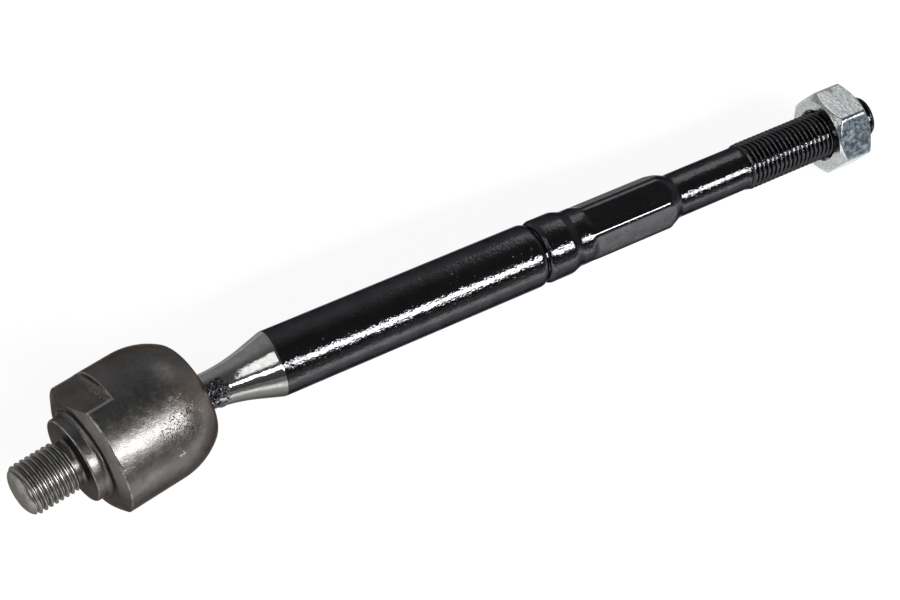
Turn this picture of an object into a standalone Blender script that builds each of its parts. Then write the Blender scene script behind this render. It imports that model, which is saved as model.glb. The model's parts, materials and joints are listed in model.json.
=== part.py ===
"""Inner tie rod of a rack-and-pinion steering gear.

A forged housing screws to the end of the steering rack by its threaded stud. Its barrel holds a ball
in a plastic bearing shell, and its mouth is rolled over to keep them in. The ball is the end of the
tie rod, whose outer end carries a thread and a jam nut for the outer ball joint.

Units are metres and +Z is up. Every solid is drawn along its own X axis with X = 0 at the centre of
the ball, the stud on the -X side and the thread on the +X side. The part lies at rest: the barrel and
one flat of the jam nut touch the floor, and the housing is swung to one side on the ball.
"""

import math

import bmesh
import bpy
from mathutils import Matrix, Vector

MM = 0.001

# Thread, the same size on the housing's stud and on the outer end of the rod (M14 x 1.5)
THREAD_RADIUS = 6.9 * MM
THREAD_CORE_RADIUS = 6.37 * MM
THREAD_CLEARANCE = 0.35 * MM

# Ball, bearing shell and socket
BALL_RADIUS = 12.5 * MM
BALL_FLAT_RADIUS = 3.5 * MM
SEAT_CLEARANCE = 0.3 * MM
SHELL_WALL = 2.0 * MM
SHELL_CLEARANCE = 0.3 * MM
SHELL_HOLE_RADIUS = 3.0 * MM
SHELL_SLITS = 6
SLIT_WIDTH = 1.0 * MM
SLIT_DEPTH = 11.0 * MM
SOCKET_WALL = 3.0 * MM
SOCKET_FLOOR = 2.6 * MM
POCKET_RADIUS = 4.0 * MM
POCKET_DEPTH = 1.0 * MM
SWING_LIMIT = math.radians(21.0)
SWING_CLEARANCE = 0.35 * MM

# Rounded end of the barrel, rolled over towards the mouth
DOME_RADIUS = 19.0 * MM
DOME_SWEEP = math.radians(36.7)
LIP_RADIUS = 5.3 * MM
LIP_THICKNESS = 2.3 * MM
LIP_NOSE = 0.5 * MM
SHELL_RIM_SETBACK = 1.4 * MM

# Front of the housing
BARREL_EDGE = 0.35 * MM
FRONT_CHAMFER_WIDTH = 3.2 * MM
FRONT_CHAMFER_SLOPE = math.radians(27.5)
FLATS_ACROSS = 30.0 * MM
FLATS_LENGTH = 8.7 * MM
COLLAR_RADIUS = 11.55 * MM
COLLAR_LENGTH = 3.5 * MM
COLLAR_EDGE = 0.9 * MM
COLLAR_FILLET = 1.3 * MM
UNDERCUT_RADIUS = 6.0 * MM
UNDERCUT_LENGTH = 2.6 * MM
UNDERCUT_FILLET = 0.8 * MM
STUD_LENGTH = 15.8 * MM
STUD_TIP_RADIUS = 2.8 * MM
STUD_TIP_LENGTH = 3.0 * MM

# Tie rod, from the ball outwards
NECK_RADIUS = 4.85 * MM
NECK_END = 14.5 * MM
FLARE_RADIUS = 48.0 * MM
FLARE_SWEEP = math.radians(17.6)
SHANK_RADIUS = 9.0 * MM
SHANK_LENGTH = 76.7 * MM
GROOVE_DEPTH = 1.15 * MM
GROOVE_FLOOR = 0.1 * MM
GROOVE_INNER_ROUND = 3.3 * MM
GROOVE_INNER_SWEEP = math.radians(40.0)
GROOVE_OUTER_ROUND = 1.75 * MM
ROD_COLLAR_LENGTH = 5.65 * MM
WAIST_RADIUS = 8.05 * MM
WAIST_TAPER = 4.1 * MM
WAIST_LENGTH = 2.1 * MM
HEX_ACROSS = 15.0 * MM
HEX_CORNER_ROUND = 2.6 * MM
HEX_BLEND = 2.6 * MM
HEX_LENGTH = 23.8 * MM
HEX_END_TAPER = 4.3 * MM
SLIM_LENGTH = 22.5 * MM
THREAD_RUNOUT = 1.2 * MM
THREAD_LENGTH = 44.05 * MM
END_CHAMFER = 1.0 * MM
END_CHAMFER_LENGTH = 1.9 * MM

# Jam nut (22 mm across flats, 11 mm high)
NUT_ACROSS = 22.0 * MM
NUT_HEIGHT = 11.0 * MM
NUT_FACE_SHARE = 0.95
NUT_CHAMFER_ANGLE = math.radians(30.0)
NUT_COUNTERSINK = 0.6 * MM
NUT_FROM_END = 5.2 * MM

# How the part lies
REST_SWING = math.radians(10.2)
FLATS_LEAN = math.radians(-26.25)
HEX_LEAN = math.radians(46.9)

# Facets
ROUND_SEGMENTS = 48
ARC_STEP = math.radians(10.0)
GREATER_THAN_PART = 60.0 * MM

# Sizes that follow from the ball outwards
SEAT_RADIUS = BALL_RADIUS + SEAT_CLEARANCE
SHELL_RADIUS = SEAT_RADIUS + SHELL_WALL
CAVITY_RADIUS = SHELL_RADIUS + SHELL_CLEARANCE
BARREL_RADIUS = CAVITY_RADIUS + SOCKET_WALL
BARREL_FRONT = -(CAVITY_RADIUS + SOCKET_FLOOR)
FRONT_FACE_RADIUS = max(BARREL_RADIUS - FRONT_CHAMFER_WIDTH, COLLAR_RADIUS + COLLAR_FILLET + BARREL_EDGE)
RACK_SEAT = BARREL_FRONT - COLLAR_LENGTH
STUD_TIP = RACK_SEAT - STUD_LENGTH

# The mouth is a cone that the neck would touch with its clearance at the limit of the swing
NECK_REACH = NECK_RADIUS + SWING_CLEARANCE
THROAT_ANGLE = SWING_LIMIT + math.asin(NECK_REACH / CAVITY_RADIUS)
THROAT = CAVITY_RADIUS * math.cos(THROAT_ANGLE)
LIP_FRONT = THROAT + LIP_THICKNESS
SHELL_END = THROAT - SHELL_RIM_SETBACK

# Stations along the tie rod
FLARE_END = (
    NECK_END
    + FLARE_RADIUS * math.sin(FLARE_SWEEP)
    + (SHANK_RADIUS - NECK_RADIUS - FLARE_RADIUS * (1.0 - math.cos(FLARE_SWEEP))) / math.tan(FLARE_SWEEP)
)
GROOVE_START = FLARE_END + SHANK_LENGTH


def arc(centre_x, centre_r, radius, start, end, step=ARC_STEP):
    """Points of an arc in the profile plane, from angle start to angle end, measured from +X."""
    count = max(2, math.ceil(abs(end - start) / step))
    points = []
    for index in range(count + 1):
        angle = start + (end - start) * index / count
        points.append((centre_x + radius * math.cos(angle), centre_r + radius * math.sin(angle)))
    return points


def round_rings(profile):
    """One ring of equal radius for every profile point."""
    return [[(x, radius)] * ROUND_SEGMENTS for x, radius in profile]


def ring_angle(index):
    return 2.0 * math.pi * index / ROUND_SEGMENTS


def hexagon_radius(angle, across, corner_round):
    """Distance from the axis to a hexagon with rounded corners, one of which points along angle 0."""
    sector = math.radians(60.0)
    from_corner = abs((angle + sector / 2.0) % sector - sector / 2.0)
    flat = (across / 2.0) / math.cos(sector / 2.0 - from_corner)
    if corner_round == 0.0:
        return flat
    round_centre = (across / 2.0 - corner_round) / math.cos(sector / 2.0)
    offset = round_centre * math.sin(from_corner)
    if from_corner > math.atan2(corner_round * 0.5, round_centre + corner_round * math.cos(sector / 2.0)):
        return flat
    return round_centre * math.cos(from_corner) + math.sqrt(corner_round**2 - offset**2)


def skin(name, rings, closed_loop=False):
    """A closed mesh through rings of (x, radius) pairs.

    The ends are flat caps, or with closed_loop the last ring joins the first.
    """
    mesh = bmesh.new()
    loops = []
    for ring in rings:
        loop = []
        for index, (x, radius) in enumerate(ring):
            angle = ring_angle(index)
            loop.append(mesh.verts.new((x, -radius * math.sin(angle), radius * math.cos(angle))))
        loops.append(loop)
    pairs = list(zip(loops[:-1], loops[1:]))
    if closed_loop:
        pairs.append((loops[-1], loops[0]))
    else:
        mesh.faces.new(loops[0])
        mesh.faces.new(loops[-1])
    for first, second in pairs:
        for index in range(ROUND_SEGMENTS):
            after = (index + 1) % ROUND_SEGMENTS
            mesh.faces.new((first[index], first[after], second[after], second[index]))
    bmesh.ops.recalc_face_normals(mesh, faces=mesh.faces)
    data = bpy.data.meshes.new(name)
    mesh.to_mesh(data)
    mesh.free()
    solid = bpy.data.objects.new(name, data)
    bpy.context.collection.objects.link(solid)
    return solid


def box(name, low, high, turn=0.0):
    """A box between two corners, turned about the X axis."""
    mesh = bmesh.new()
    bmesh.ops.create_cube(mesh, size=1.0)
    size = Vector(high) - Vector(low)
    middle = (Vector(high) + Vector(low)) / 2.0
    place = Matrix.Rotation(turn, 4, "X") @ Matrix.Translation(middle) @ Matrix.Diagonal((*size, 1.0))
    bmesh.ops.transform(mesh, matrix=place, verts=mesh.verts)
    data = bpy.data.meshes.new(name)
    mesh.to_mesh(data)
    mesh.free()
    solid = bpy.data.objects.new(name, data)
    bpy.context.collection.objects.link(solid)
    return solid


def cut(solid, cutter):
    """Take the cutter's shape out of the solid and remove the cutter."""
    modifier = solid.modifiers.new("cut", "BOOLEAN")
    modifier.operation = "DIFFERENCE"
    modifier.solver = "EXACT"
    modifier.object = cutter
    cutter.hide_render = True
    cutter.display_type = "WIRE"
    graph = bpy.context.evaluated_depsgraph_get()
    result = bpy.data.meshes.new_from_object(solid.evaluated_get(graph))
    solid.modifiers.clear()
    solid.data = result
    bpy.data.objects.remove(cutter, do_unlink=True)


def material(name, colour, roughness, metallic):
    made = bpy.data.materials.new(name)
    made.use_nodes = True
    shader = made.node_tree.nodes["Principled BSDF"]
    shader.inputs["Base Color"].default_value = (*colour, 1.0)
    shader.inputs["Roughness"].default_value = roughness
    shader.inputs["Metallic"].default_value = metallic
    return made


def empty(name, parent=None):
    made = bpy.data.objects.new(name, None)
    made.empty_display_size = 20.0 * MM
    bpy.context.collection.objects.link(made)
    made.parent = parent
    return made


def stud_profile():
    """Threaded stud, its undercut and the face that seats on the rack."""
    tip_round = THREAD_RADIUS - STUD_TIP_RADIUS
    profile = []
    for index in range(6):
        angle = math.radians(90.0) * index / 5
        x = STUD_TIP + STUD_TIP_LENGTH * (1.0 - math.cos(angle))
        profile.append((x, STUD_TIP_RADIUS + tip_round * math.sin(angle)))
    undercut_start = RACK_SEAT - UNDERCUT_LENGTH
    undercut_depth = THREAD_RADIUS - UNDERCUT_RADIUS
    profile.append((undercut_start, THREAD_RADIUS))
    profile.append((undercut_start + undercut_depth, UNDERCUT_RADIUS))
    fillet_x = RACK_SEAT - UNDERCUT_FILLET
    fillet_r = UNDERCUT_RADIUS + UNDERCUT_FILLET
    profile += arc(fillet_x, fillet_r, UNDERCUT_FILLET, math.radians(-90.0), 0.0, math.radians(30.0))
    return profile


def collar_profile():
    """Collar between the stud and the barrel, with a rounded front edge and a fillet at its foot."""
    edge_x = RACK_SEAT + COLLAR_EDGE
    edge_r = COLLAR_RADIUS - COLLAR_EDGE
    profile = arc(edge_x, edge_r, COLLAR_EDGE, math.radians(180.0), math.radians(90.0), math.radians(30.0))
    foot_x = BARREL_FRONT - COLLAR_FILLET
    foot_r = COLLAR_RADIUS + COLLAR_FILLET
    profile += arc(foot_x, foot_r, COLLAR_FILLET, math.radians(-90.0), 0.0, math.radians(30.0))
    return profile


def mouth_radius(x):
    """Radius of the mouth's cone at a station along the housing."""
    return x * math.tan(SWING_LIMIT) + NECK_REACH / math.cos(SWING_LIMIT)


def lip_stop_angle():
    """Angle on the lip's arc where it reaches the rounded nose of the mouth."""
    centre_r = BARREL_RADIUS - DOME_RADIUS * (1.0 - math.cos(DOME_SWEEP)) - LIP_RADIUS * math.cos(DOME_SWEEP)
    rise = mouth_radius(LIP_FRONT) + LIP_NOSE - centre_r
    return math.asin(min(max(rise / LIP_RADIUS, 0.0), 0.9))


def dome_start():
    """Where the dome leaves the barrel, so that the lip ends at its place in front of the throat."""
    dome_length = DOME_RADIUS * math.sin(DOME_SWEEP)
    lip_length = LIP_RADIUS * (math.cos(lip_stop_angle()) - math.sin(DOME_SWEEP))
    return LIP_FRONT - dome_length - lip_length


def lip_arcs():
    """Dome and rolled lip: the outer profile from the barrel to the nose of the lip."""
    top = math.radians(90.0)
    dome = arc(dome_start(), BARREL_RADIUS - DOME_RADIUS, DOME_RADIUS, top, top - DOME_SWEEP)
    end_x, end_r = dome[-1]
    lip_x = end_x - LIP_RADIUS * math.sin(DOME_SWEEP)
    lip_r = end_r - LIP_RADIUS * math.cos(DOME_SWEEP)
    lip = arc(lip_x, lip_r, LIP_RADIUS, top - DOME_SWEEP, lip_stop_angle())
    return dome + lip[1:]


def barrel_profile():
    """Barrel from its chamfered front face round the lip and through the mouth into the cavity."""
    edge_r = BARREL_RADIUS - BARREL_EDGE
    edge_x = BARREL_FRONT + (edge_r - FRONT_FACE_RADIUS) * math.tan(FRONT_CHAMFER_SLOPE)
    profile = [(BARREL_FRONT, FRONT_FACE_RADIUS), (edge_x, edge_r), (edge_x + BARREL_EDGE, BARREL_RADIUS)]
    profile += lip_arcs()
    profile.append((LIP_FRONT - LIP_NOSE, mouth_radius(LIP_FRONT - LIP_NOSE)))
    pocket_angle = math.pi - math.asin(POCKET_RADIUS / CAVITY_RADIUS)
    profile += arc(0.0, 0.0, CAVITY_RADIUS, THROAT_ANGLE, pocket_angle)
    profile.append((profile[-1][0] - POCKET_DEPTH, POCKET_RADIUS))
    return profile


def make_socket_housing():
    """One forging: stud, collar and barrel, with two wrench flats milled from the barrel's front."""
    rings = round_rings(stud_profile() + collar_profile() + barrel_profile())
    housing = skin("socket_housing", rings)
    for index in range(2):
        low = (RACK_SEAT, -GREATER_THAN_PART, FLATS_ACROSS / 2.0)
        high = (BARREL_FRONT + FLATS_LENGTH, GREATER_THAN_PART, GREATER_THAN_PART)
        cut(housing, box("wrench_flat", low, high, math.pi * index))
    return housing


def make_bearing_shell():
    """Plastic seat around the ball, open to the mouth and slit so that it snaps over the ball."""
    outer_start = math.acos(SHELL_END / SHELL_RADIUS)
    outer_stop = math.pi - math.asin(SHELL_HOLE_RADIUS / SHELL_RADIUS)
    inner_start = math.pi - math.asin(SHELL_HOLE_RADIUS / SEAT_RADIUS)
    inner_stop = SWING_LIMIT + math.asin(NECK_REACH / SEAT_RADIUS)
    profile = arc(0.0, 0.0, SHELL_RADIUS, outer_start, outer_stop)
    profile += arc(0.0, 0.0, SEAT_RADIUS, inner_start, inner_stop)
    profile.append((SHELL_END, mouth_radius(SHELL_END)))
    shell = skin("bearing_shell", round_rings(profile), closed_loop=True)
    for index in range(SHELL_SLITS // 2):
        low = (SHELL_END - SLIT_DEPTH, -SLIT_WIDTH / 2.0, -GREATER_THAN_PART)
        high = (GREATER_THAN_PART, SLIT_WIDTH / 2.0, GREATER_THAN_PART)
        cut(shell, box("slit", low, high, 2.0 * math.pi * index / SHELL_SLITS))
    return shell


def ball_and_flare_profile():
    """Ball, neck and the cone that widens to the shank."""
    flat_angle = math.pi - math.asin(BALL_FLAT_RADIUS / BALL_RADIUS)
    profile = arc(0.0, 0.0, BALL_RADIUS, flat_angle, math.asin(NECK_RADIUS / BALL_RADIUS))
    flare_start = math.radians(-90.0)
    profile += arc(
        NECK_END,
        NECK_RADIUS + FLARE_RADIUS,
        FLARE_RADIUS,
        flare_start,
        flare_start + FLARE_SWEEP,
        math.radians(3.0),
    )
    profile.append((FLARE_END, SHANK_RADIUS))
    return profile


def groove_profile():
    """Ring groove after the shank: a soft shoulder on the inner side and a steep one on the outer."""
    top = math.radians(90.0)
    floor_r = SHANK_RADIUS - GROOVE_DEPTH
    inner = arc(
        GROOVE_START,
        SHANK_RADIUS - GROOVE_INNER_ROUND,
        GROOVE_INNER_ROUND,
        top,
        top - GROOVE_INNER_SWEEP,
    )
    inner_x, inner_r = inner[-1]
    floor_start = inner_x + (inner_r - floor_r) / math.tan(GROOVE_INNER_SWEEP)
    outer_sweep = math.acos(1.0 - GROOVE_DEPTH / GROOVE_OUTER_ROUND)
    outer = arc(
        floor_start + GROOVE_FLOOR + GROOVE_OUTER_ROUND * math.sin(outer_sweep),
        SHANK_RADIUS - GROOVE_OUTER_ROUND,
        GROOVE_OUTER_ROUND,
        top + outer_sweep,
        top,
        math.radians(18.0),
    )
    return inner + [(floor_start, floor_r)] + outer


def waist_profile(start):
    """Collar after the groove and the taper to the round waist before the hexagon."""
    taper_start = start + ROD_COLLAR_LENGTH
    taper_end = taper_start + WAIST_TAPER
    drop = SHANK_RADIUS - WAIST_RADIUS
    profile = []
    for share, depth in ((0.0, 0.0), (0.25, 0.12), (0.75, 0.88), (1.0, 1.0)):
        profile.append((taper_start + WAIST_TAPER * share, SHANK_RADIUS - drop * depth))
    profile.append((taper_end + WAIST_LENGTH, WAIST_RADIUS))
    return profile


def hexagon_rings(start):
    """Hexagon for the wrench: it grows out of the round waist and ends in a taper to the slim shank."""
    sizes = [
        hexagon_radius(ring_angle(index) - HEX_LEAN, HEX_ACROSS, HEX_CORNER_ROUND)
        for index in range(ROUND_SEGMENTS)
    ]
    rings = []
    for share in (0.35, 0.7, 1.0):
        mix = share * share * (3.0 - 2.0 * share)
        x = start + HEX_BLEND * share
        rings.append([(x, WAIST_RADIUS + (size - WAIST_RADIUS) * mix) for size in sizes])
    taper_start = start + HEX_BLEND + HEX_LENGTH
    widest = max(sizes)
    slope = HEX_END_TAPER / (widest - THREAD_CORE_RADIUS)
    rings.append([(taper_start + (widest - size) * slope, size) for size in sizes])
    return rings, taper_start + HEX_END_TAPER


def threaded_end_profile(start):
    """Slim shank at the thread's core size, the run-out and the threaded length at its crest size."""
    runout_start = start + SLIM_LENGTH
    thread_start = runout_start + THREAD_RUNOUT
    rod_end = thread_start + THREAD_LENGTH
    return [
        (start, THREAD_CORE_RADIUS),
        (runout_start, THREAD_CORE_RADIUS),
        (thread_start, THREAD_RADIUS),
        (rod_end - END_CHAMFER_LENGTH, THREAD_RADIUS),
        (rod_end, THREAD_RADIUS - END_CHAMFER),
    ]


def tie_rod_rings():
    groove = groove_profile()
    waist = waist_profile(groove[-1][0])
    hexagon, hexagon_end = hexagon_rings(waist[-1][0])
    rings = round_rings(ball_and_flare_profile() + groove + waist)
    return rings + hexagon + round_rings(threaded_end_profile(hexagon_end))


def make_tie_rod():
    """One bar from the ball to the thread."""
    return skin("tie_rod", tie_rod_rings())


def rod_end_x():
    return tie_rod_rings()[-1][0][0]


def make_jam_nut():
    """Hexagon nut with both faces chamfered, drawn around its own middle."""
    half = NUT_HEIGHT / 2.0
    face_radius = NUT_ACROSS / 2.0 * NUT_FACE_SHARE
    bore = THREAD_RADIUS + THREAD_CLEARANCE
    rim = bore + NUT_COUNTERSINK
    sizes = [
        hexagon_radius(ring_angle(index) - math.radians(30.0), NUT_ACROSS, 0.0)
        for index in range(ROUND_SEGMENTS)
    ]
    slope = math.tan(NUT_CHAMFER_ANGLE)
    side_start = [(-half + (size - face_radius) * slope, size) for size in sizes]
    side_end = [(half - (size - face_radius) * slope, size) for size in sizes]
    rings = round_rings([(-half, rim), (-half, face_radius)])
    rings += [side_start, side_end]
    rings += round_rings(
        [(half, face_radius), (half, rim), (half - NUT_COUNTERSINK, bore), (-half + NUT_COUNTERSINK, bore)]
    )
    return skin("jam_nut", rings, closed_loop=True)


def rest_slope(nut_middle):
    """Slope of the rod when the barrel and the outer edge of the nut's lower flat touch the floor."""
    outer_edge = nut_middle + NUT_HEIGHT / 2.0
    return math.atan((BARREL_RADIUS - NUT_ACROSS / 2.0) / (outer_edge - dome_start()))


def settle_on_floor(root, solids):
    """Move the part so that its lowest point is on the floor and its box is centred on the origin."""
    bpy.context.view_layer.update()
    points = [solid.matrix_world @ vertex.co for solid in solids for vertex in solid.data.vertices]
    low = Vector([min(point[axis] for point in points) for axis in range(3)])
    high = Vector([max(point[axis] for point in points) for axis in range(3)])
    root.location -= Vector(((low.x + high.x) / 2.0, (low.y + high.y) / 2.0, low.z))
    bpy.context.view_layer.update()


def main():
    for item in list(bpy.data.objects):
        bpy.data.objects.remove(item, do_unlink=True)

    forged_steel = material("forged_steel", (0.16, 0.15, 0.14), 0.42, 1.0)
    bearing_plastic = material("bearing_plastic", (0.75, 0.74, 0.7), 0.4, 0.0)
    black_paint = material("black_paint", (0.012, 0.012, 0.014), 0.22, 0.0)
    zinc_plate = material("zinc_plate", (0.55, 0.57, 0.58), 0.35, 1.0)

    rod_frame = empty("rod_frame")
    housing_frame = empty("housing_frame", rod_frame)

    housing = make_socket_housing()
    shell = make_bearing_shell()
    rod = make_tie_rod()
    nut = make_jam_nut()
    finishes = ((housing, forged_steel), (shell, bearing_plastic), (rod, black_paint), (nut, zinc_plate))
    for solid, finish in finishes:
        solid.data.materials.clear()
        solid.data.materials.append(finish)

    housing.parent = housing_frame
    shell.parent = housing_frame
    rod.parent = rod_frame
    nut.parent = rod
    nut_middle = rod_end_x() - NUT_FROM_END - NUT_HEIGHT / 2.0
    nut.location.x = nut_middle

    rod_frame.rotation_euler = (0.0, rest_slope(nut_middle), 0.0)
    housing_frame.rotation_euler = (FLATS_LEAN, 0.0, REST_SWING)
    settle_on_floor(rod_frame, (housing, shell, rod, nut))


main()
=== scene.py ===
# %% [markdown]
# # An inner tie rod, dressed for its picture
# The imported solids give every size, place and joint. This lesson lays finer pieces over them:
# screw threads that really wind, rolled and turned edges, and finishes made of nodes. The frame is
# loaded first, because every piece is placed by it.

# %% Load the frame
import json
import math

import bmesh
import bpy
from mathutils import Matrix, Vector, noise


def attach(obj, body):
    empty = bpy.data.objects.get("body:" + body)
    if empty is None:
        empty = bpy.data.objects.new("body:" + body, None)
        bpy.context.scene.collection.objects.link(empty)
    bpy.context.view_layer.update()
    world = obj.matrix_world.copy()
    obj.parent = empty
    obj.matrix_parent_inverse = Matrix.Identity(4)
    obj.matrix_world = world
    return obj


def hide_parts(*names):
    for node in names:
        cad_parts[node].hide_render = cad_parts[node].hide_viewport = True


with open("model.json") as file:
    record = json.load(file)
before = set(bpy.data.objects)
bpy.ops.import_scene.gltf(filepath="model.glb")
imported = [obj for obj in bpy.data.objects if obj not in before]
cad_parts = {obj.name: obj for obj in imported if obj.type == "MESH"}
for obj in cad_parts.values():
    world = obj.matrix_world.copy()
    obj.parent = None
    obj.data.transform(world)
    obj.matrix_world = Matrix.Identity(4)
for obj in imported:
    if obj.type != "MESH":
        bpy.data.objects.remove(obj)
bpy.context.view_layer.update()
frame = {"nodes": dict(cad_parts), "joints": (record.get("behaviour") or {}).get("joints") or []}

# %% [markdown]
# ## Two lathes, one ball
# The part is turned work, so each piece is drawn in millimetres along its own X axis with zero at
# the centre of the ball. The joints of the frame say where those axes lie: the nut slides along
# the rod, the shell spins about the housing, and the swing is about the axis square to both.
# Reading them is safer than copying numbers, because a new pack moves the pieces along with it.
# Only the lean of the housing's wrench flats is given here, since no joint tells it.

# %% Places of the rod and the housing
MM = 0.001
FLATS_LEAN = math.radians(-26.25)

joints = {joint["name"]: joint for joint in frame["joints"]}
ball_centre = Vector(joints["ball_spin"]["pos_m"])
rod_along = Vector(joints["nut_travel"]["axis"]).normalized()
swing_axis = Vector(joints["ball_swing"]["axis"]).normalized()
housing_along = Vector(joints["ball_spin"]["axis"]).normalized()


def lathe_place(along, up, roll=0.0):
    """Matrix from millimetres on a lathe's axis to the row frame."""
    side = up.cross(along).normalized()
    turn = Matrix((along, side, along.cross(side))).transposed().to_4x4()
    roll_and_scale = Matrix.Rotation(roll, 4, "X") @ Matrix.Scale(MM, 4)
    return Matrix.Translation(ball_centre) @ turn @ roll_and_scale


rod_place = lathe_place(rod_along, swing_axis)
housing_place = lathe_place(housing_along, swing_axis, FLATS_LEAN)
print("swing at rest, degrees:", round(math.degrees(rod_along.angle(housing_along)), 2))

# %% [markdown]
# ## The camera
# The photograph looks down on the part from the stud's end. The camera's place, aim and lens were
# fitted to the straight edges of the bar, the paint line and the nut, so they are given as a place
# and two directions and not as a guess of angles.

# %% Camera
CAMERA_PLACE = Vector((-0.164067, -0.264587, 0.39509))
CAMERA_LOOK = Vector((0.31881, 0.53908, -0.77959))
CAMERA_UP = Vector((0.38559, 0.6776, 0.62624))
SENSOR_MM, LENS_MM = 36.0, 73.71
CLIP_NEAR, CLIP_FAR = 0.01, 50.0


def add_object(name, data):
    thing = bpy.data.objects.new(name, data)
    bpy.context.scene.collection.objects.link(thing)
    return thing


def place_and_turn(place, right, up, back):
    """Where a camera or a lamp stands; both look towards their own -Z."""
    return Matrix.Translation(place) @ Matrix((right, up, back)).transposed().to_4x4()


camera_data = bpy.data.cameras.new("photo_camera")
camera_data.sensor_width = SENSOR_MM
camera_data.lens = LENS_MM
camera_data.clip_start = CLIP_NEAR
camera_data.clip_end = CLIP_FAR
camera = add_object("photo_camera", camera_data)
right = CAMERA_LOOK.cross(CAMERA_UP).normalized()
upright = right.cross(CAMERA_LOOK).normalized()
camera.matrix_world = place_and_turn(CAMERA_PLACE, right, upright, -CAMERA_LOOK)
bpy.context.scene.camera = camera
print("camera looks down by", round(math.degrees(math.asin(-CAMERA_LOOK.z)), 1), "degrees")

# %% [markdown]
# ## A few tools for node finishes
# A finish is a chain of nodes. These helpers add one node each, so that a chain reads as a list of
# steps. Every piece carries its own lathe coordinates in millimetres as an attribute, and the
# finishes read that: grain then stays the same size on each piece and turns with it.

# %% Node helpers
PLACE_LAYER = "lathe_mm"


def start_finish(name, colour, roughness, metallic=0.0, tint=(1.0, 1.0, 1.0)):
    """A material with a Principled shader, and the handles that the next steps need.

    The tint is the colour of a metal's rim. The colour and the roughness are averages, which hold
    until finer ones are linked.
    """
    finish = bpy.data.materials.new(name)
    finish.use_nodes = True
    tree = finish.node_tree
    shader = tree.nodes["Principled BSDF"]
    shader.inputs["Base Color"].default_value = (*colour, 1.0)
    shader.inputs["Roughness"].default_value = roughness
    shader.inputs["Metallic"].default_value = metallic
    shader.inputs["Specular Tint"].default_value = (*tint, 1.0)
    return finish, tree, shader


def end_finish(tree, shader, colour, roughness, normal):
    """Link what the steps have made. No colour keeps the one that the finish started with."""
    if colour is not None:
        tree.links.new(colour, shader.inputs["Base Color"])
    tree.links.new(roughness, shader.inputs["Roughness"])
    tree.links.new(normal, shader.inputs["Normal"])


def feed(tree, socket, value):
    """Link a socket or set its value."""
    if isinstance(value, bpy.types.NodeSocket):
        tree.links.new(value, socket)
    else:
        socket.default_value = value


def place_on_lathe(tree):
    read = tree.nodes.new("ShaderNodeAttribute")
    read.attribute_name = PLACE_LAYER
    return read.outputs["Vector"]


def scaled(tree, vector, scale, shift=(0.0, 0.0, 0.0)):
    mapping = tree.nodes.new("ShaderNodeMapping")
    tree.links.new(vector, mapping.inputs["Vector"])
    mapping.inputs["Scale"].default_value = scale
    mapping.inputs["Location"].default_value = shift
    return mapping.outputs["Vector"]


def shifted(tree, vector, shift):
    """Another stretch of the same noise."""
    return scaled(tree, vector, (1.0, 1.0, 1.0), shift)


def coordinate(tree, vector, axis):
    parts = tree.nodes.new("ShaderNodeSeparateXYZ")
    tree.links.new(vector, parts.inputs[0])
    return parts.outputs[axis]


def measured(tree, operation, vector, other=None):
    """One number from a vector: its length, or its dot product with another vector."""
    measure = tree.nodes.new("ShaderNodeVectorMath")
    measure.operation = operation
    tree.links.new(vector, measure.inputs[0])
    if other is not None:
        measure.inputs[1].default_value = other
    return measure.outputs["Value"]


def grain(tree, vector, scale, detail=3.0, rough=0.55):
    """Noise whose scale is in waves per millimetre."""
    waves = tree.nodes.new("ShaderNodeTexNoise")
    tree.links.new(vector, waves.inputs["Vector"])
    waves.inputs["Scale"].default_value = scale
    waves.inputs["Detail"].default_value = detail
    waves.inputs["Roughness"].default_value = rough
    return waves.outputs["Fac"]


def maths(tree, operation, first, second=0.0):
    step = tree.nodes.new("ShaderNodeMath")
    step.operation = operation
    feed(tree, step.inputs[0], first)
    feed(tree, step.inputs[1], second)
    return step.outputs[0]


def times(tree, first, second):
    return maths(tree, "MULTIPLY", first, second)


def levels(tree, value, low, high, out_low=0.0, out_high=1.0, smooth=False):
    """Stretch a value from one range to another and hold it there."""
    stretch = tree.nodes.new("ShaderNodeMapRange")
    stretch.interpolation_type = "SMOOTHSTEP" if smooth else "LINEAR"
    feed(tree, stretch.inputs["Value"], value)
    stretch.inputs["From Min"].default_value = low
    stretch.inputs["From Max"].default_value = high
    stretch.inputs["To Min"].default_value = out_low
    stretch.inputs["To Max"].default_value = out_high
    return stretch.outputs["Result"]


def band(tree, value, rise, fall):
    """1 between two slopes: up over one range, and down again over the other."""
    return times(tree, levels(tree, value, *rise), levels(tree, value, fall[1], fall[0]))


def blend_colour(tree, factor, first, second):
    mix = tree.nodes.new("ShaderNodeMix")
    mix.data_type = "RGBA"
    feed(tree, mix.inputs["Factor"], factor)
    feed(tree, mix.inputs[6], (*first, 1.0) if isinstance(first, tuple) else first)
    feed(tree, mix.inputs[7], (*second, 1.0) if isinstance(second, tuple) else second)
    return mix.outputs[2]


def relief(tree, height, depth_mm, under=None):
    """A bump of a given depth, laid over another one."""
    bump = tree.nodes.new("ShaderNodeBump")
    feed(tree, bump.inputs["Height"], height)
    bump.inputs["Distance"].default_value = depth_mm * MM
    if under is not None:
        tree.links.new(under, bump.inputs["Normal"])
    return bump.outputs["Normal"]


def spot(tree, centre, radii):
    """1 at a centre on the lathe, falling to 0 at an ellipsoid round it."""
    scale = tuple(1.0 / r for r in radii)
    shift = tuple(-c / r for c, r in zip(centre, radii))
    off_centre = scaled(tree, place_on_lathe(tree), scale, shift)
    return levels(tree, measured(tree, "LENGTH", off_centre), 1.0, 0.0, smooth=True)


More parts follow.
